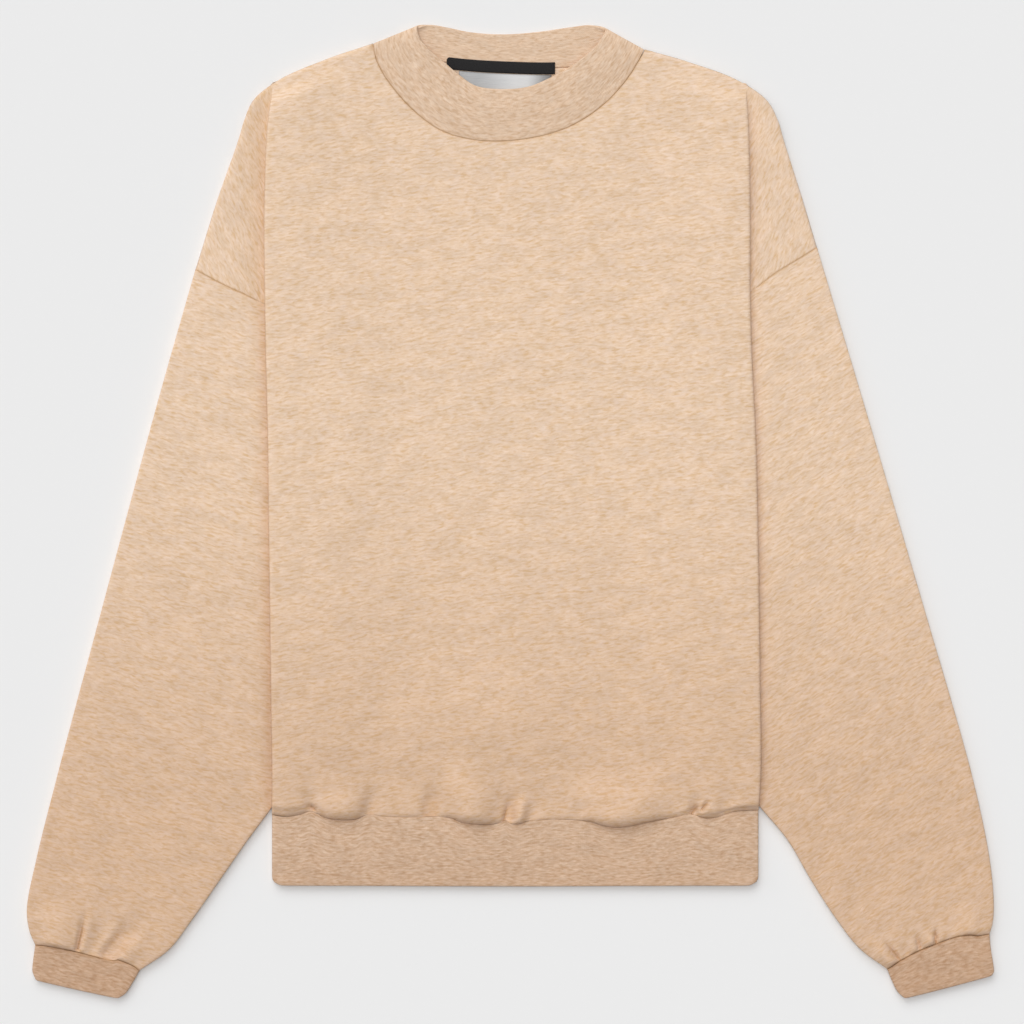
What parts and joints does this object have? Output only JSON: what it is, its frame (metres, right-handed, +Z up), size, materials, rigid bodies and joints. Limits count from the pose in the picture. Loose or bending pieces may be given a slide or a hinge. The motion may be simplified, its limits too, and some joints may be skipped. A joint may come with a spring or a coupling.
{
  "type": "crewneck sweatshirt",
  "caption": "Oversized crewneck sweatshirt of heather fleece with ribbed neck, cuffs and hem, laid out flat with its sides folded in.",
  "frame": {"origin": "centre of the garment's box on the surface it lies on", "axes": "+X across to the right as seen from above, +Y from the hem up to the neck, +Z up from the surface"},
  "size_m": [0.7931, 0.801, 0.0145],
  "materials": {
    "fleece": "brushed heather fleece",
    "rib": "fine rib knit",
    "neck_rib": "fine rib knit",
    "tape": "matt woven tape",
    "patch": "satin woven patch"
  },
  "bodies": {
    "root": {"back": "fleece", "front": "fleece", "sleeve_left": "fleece", "cuff_left": "rib", "sleeve_right": "fleece", "cuff_right": "rib", "hem_band": "rib", "neck_band": "neck_rib", "neck_tape": "tape", "size_patch": "patch"}
  },
  "joints": []
}
